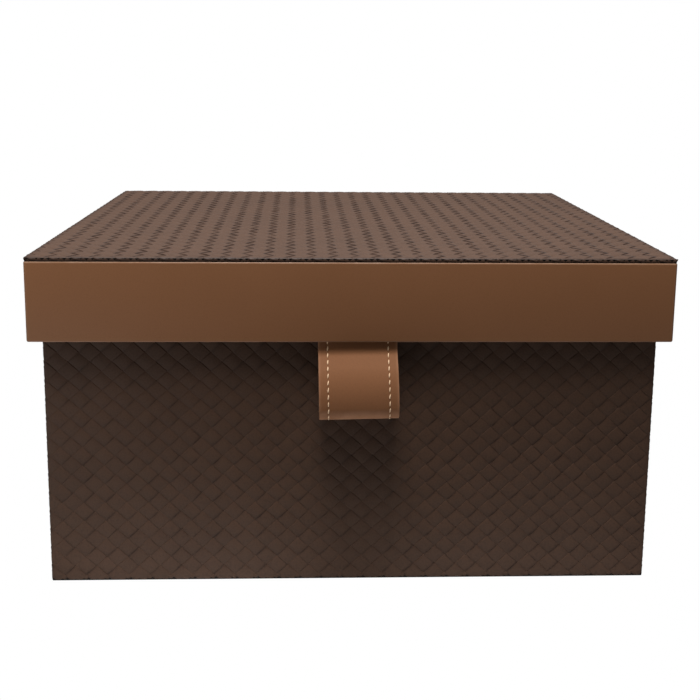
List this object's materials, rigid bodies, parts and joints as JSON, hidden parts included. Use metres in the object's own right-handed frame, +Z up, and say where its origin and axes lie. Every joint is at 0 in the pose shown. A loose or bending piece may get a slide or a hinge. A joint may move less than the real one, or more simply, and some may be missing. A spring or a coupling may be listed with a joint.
{
  "type": "storage box",
  "caption": "Rectangular storage box in woven leather with a lift-off lid, smooth leather skirt and a folded leather pull loop at the front.",
  "frame": {"origin": "middle of the underside, on the surface that the box stands on", "axes": "+Z up, +X to the right seen from the front, and the front with the pull loop faces -Y"},
  "size_m": [0.38, 0.312, 0.2034],
  "materials": {
    "woven_leather": "satin",
    "tan_leather": "satin",
    "fibreboard": "matte",
    "card": "matte",
    "lining_cloth": "matte",
    "felt": "matte",
    "foam": "matte"
  },
  "bodies": {
    "box_body": {"base_board": "fibreboard", "front_wall_board": "fibreboard", "back_wall_board": "fibreboard", "left_wall_board": "fibreboard", "right_wall_board": "fibreboard", "woven_body_wrap": "woven_leather", "underside_cover": "felt", "base_lining": "lining_cloth", "front_wall_lining": "lining_cloth", "back_wall_lining": "lining_cloth", "left_wall_lining": "lining_cloth", "right_wall_lining": "lining_cloth"},
    "lid": {"lid_top_board": "fibreboard", "skirt_front_board": "fibreboard", "skirt_back_board": "fibreboard", "skirt_left_board": "fibreboard", "skirt_right_board": "fibreboard", "skirt_leather": "tan_leather", "top_foam_sheet": "foam", "top_panel_card": "card", "woven_top_cover": "woven_leather", "lid_lining": "lining_cloth", "strap_face_tails": "tan_leather", "strap_backing_tails": "tan_leather"},
    "pull_loop": {"strap_face": "tan_leather", "strap_backing": "tan_leather"}
  },
  "joints": [
    {"name": "lid_lift", "type": "slide", "parent": "box_body", "child": "lid", "axis": [0, 0, 1], "range_m": [0, 0.2]},
    {"name": "loop_swing", "type": "hinge", "parent": "lid", "child": "pull_loop", "pos_m": [0.0026, -0.1467, 0.1515], "axis": [-1, 0, 0], "range_deg": [0, 70], "stiffness_Nm_per_rad": 0.02}
  ]
}
